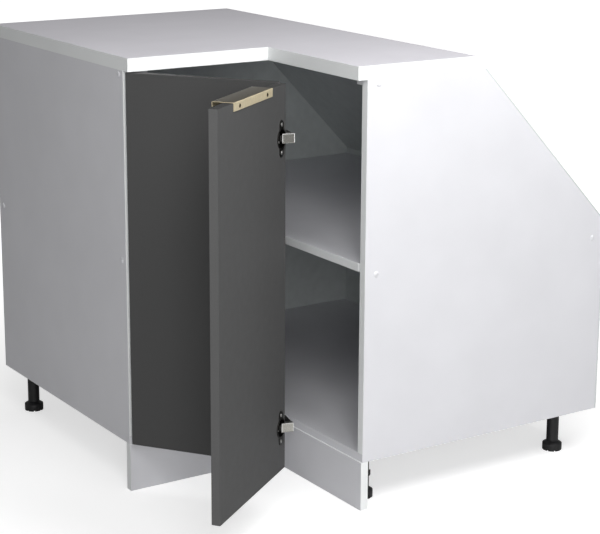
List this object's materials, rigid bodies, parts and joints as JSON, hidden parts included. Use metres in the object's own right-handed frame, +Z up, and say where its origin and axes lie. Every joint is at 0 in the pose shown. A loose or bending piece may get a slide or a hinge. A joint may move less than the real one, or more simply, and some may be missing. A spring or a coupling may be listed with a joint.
{
  "type": "corner kitchen cabinet",
  "caption": "L-shaped corner base cabinet on legs with a sloped back, a shelf and a folding two-leaf door, shown swung open.",
  "frame": {"origin": "on the floor, at the centre of the foot under the back corner, where the two walls meet", "axes": "+Z up; -X towards the left side board, whose outer face touches a neighbour; -Y towards the right side board, whose outer face touches a neighbour; +Y and +X towards the two walls"},
  "size_m": [0.9671, 1.0194, 0.84],
  "materials": {
    "board_white": "matte white board",
    "back_sheet": "matte thin board",
    "door_graphite": "matte graphite board",
    "beech": "raw wood",
    "black_plastic": "satin",
    "cap_white": "satin",
    "nickel": "nickel plated",
    "dark_nickel": "dark nickel plated",
    "steel": "zinc plated",
    "handle_metal": "brushed champagne"
  },
  "bodies": {
    "carcass": {"top_left": "board_white", "top_right": "board_white", "bottom_panel": "board_white", "left_side_panel": "board_white", "right_side_panel": "board_white", "back_sheet": "back_sheet", "knee_sheet": "back_sheet", "slope_sheet": "back_sheet", "sheet_nails": "steel", "shelf": "board_white", "shelf_pins": "steel", "left_cleat": "board_white", "right_cleat": "board_white", "back_rail": "board_white", "slope_rail": "board_white", "rail_dowels": "beech", "top_screws": "steel", "panel_screws": "steel", "screw_caps": "cap_white", "plinth_left": "board_white", "plinth_right": "board_white", "plinth_clips": "black_plastic", "clip_screws": "steel", "leg_sockets": "black_plastic", "leg_tubes": "black_plastic", "leg_feet": "black_plastic", "leg_screws": "steel", "side_hinge_plates": "nickel", "side_hinge_arms": "dark_nickel", "side_hinge_screws": "steel"},
    "leaf_1": {"door_leaf_1": "door_graphite", "side_hinge_cups": "dark_nickel", "side_hinge_pins": "steel", "leaf_1_screws": "steel", "fold_hinge_plates": "nickel", "fold_hinge_arms": "dark_nickel", "fold_hinge_covers": "nickel"},
    "leaf_2": {"door_leaf_2": "door_graphite", "fold_hinge_cups": "dark_nickel", "fold_hinge_pins": "steel", "leaf_2_screws": "steel", "handle": "handle_metal", "handle_screws": "handle_metal"}
  },
  "joints": [
    {"name": "door_swing", "type": "hinge", "parent": "carcass", "child": "leaf_1", "pos_m": [-0.8295, -0.5455, 0.441], "axis": [0, 0, -1], "range_deg": [-54.2, 50.8]},
    {"name": "door_fold", "type": "hinge", "parent": "leaf_1", "child": "leaf_2", "pos_m": [-0.67014, -0.79552, 0.441], "axis": [0, 0, -1], "range_deg": [0, 65]}
  ]
}
